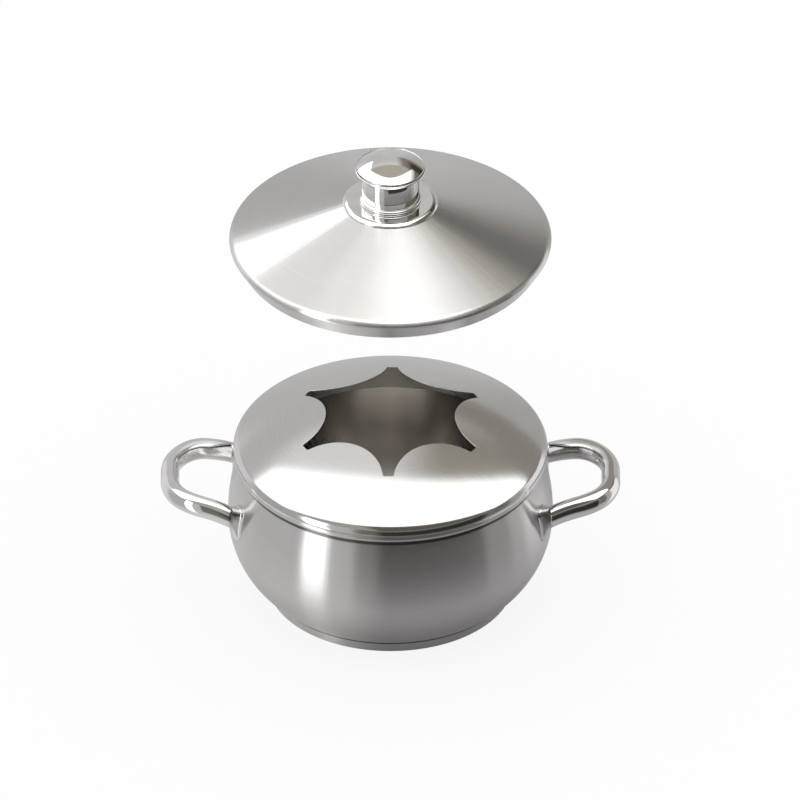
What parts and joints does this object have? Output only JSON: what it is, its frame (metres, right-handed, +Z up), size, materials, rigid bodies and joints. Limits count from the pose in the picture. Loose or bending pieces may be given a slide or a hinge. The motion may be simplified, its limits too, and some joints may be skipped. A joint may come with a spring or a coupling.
{
  "type": "fondue pot",
  "caption": "Round-bellied steel fondue pot with two loop handles, a domed guard with a star opening for forks, and a low cone-shaped lift-off lid with a knob.",
  "frame": {"origin": "centre of the base's underside, which stands on the table", "axes": "+Z up along the pot's axis, X along the two handles, and -Y towards the viewer of the picture"},
  "size_m": [0.308, 0.218, 0.3411],
  "materials": {
    "pot_steel": "stainless steel, brushed round the axis outside, satin inside",
    "base_steel": "stainless steel, brushed round the axis, fine turned rings on the underside",
    "guard_steel": "stainless steel, brushed, with a polished outer edge",
    "ring_steel": "plain satin stainless steel",
    "lid_steel": "stainless steel, brushed round the axis, with a polished band",
    "handle_steel": "mirror polished stainless steel",
    "knob_steel": "mirror polished stainless steel",
    "core_aluminium": "plain machined aluminium",
    "fastener_steel": "plain steel"
  },
  "bodies": {
    "pot": {"pot_shell": "pot_steel", "base_core": "core_aluminium", "base_cap": "base_steel", "left_handle": "handle_steel", "right_handle": "handle_steel", "left_front_foot": "handle_steel", "left_rear_foot": "handle_steel", "right_front_foot": "handle_steel", "right_rear_foot": "handle_steel"},
    "guard": {"guard_plate": "guard_steel", "guard_ring": "ring_steel"},
    "lid": {"lid_shell": "lid_steel", "knob_flange": "knob_steel", "knob_neck": "knob_steel", "knob_collar": "knob_steel", "knob_cap": "knob_steel", "knob_insert": "core_aluminium", "knob_washer": "fastener_steel", "knob_lock_washer": "fastener_steel", "knob_screw": "fastener_steel"}
  },
  "joints": [
    {"name": "guard_lift", "type": "slide", "parent": "pot", "child": "guard", "axis": [0, 0, 1], "range_m": [0, 0.12]},
    {"name": "lid_lift", "type": "slide", "parent": "guard", "child": "lid", "axis": [0, 0, 1], "range_m": [-0.148, 0.04]}
  ]
}
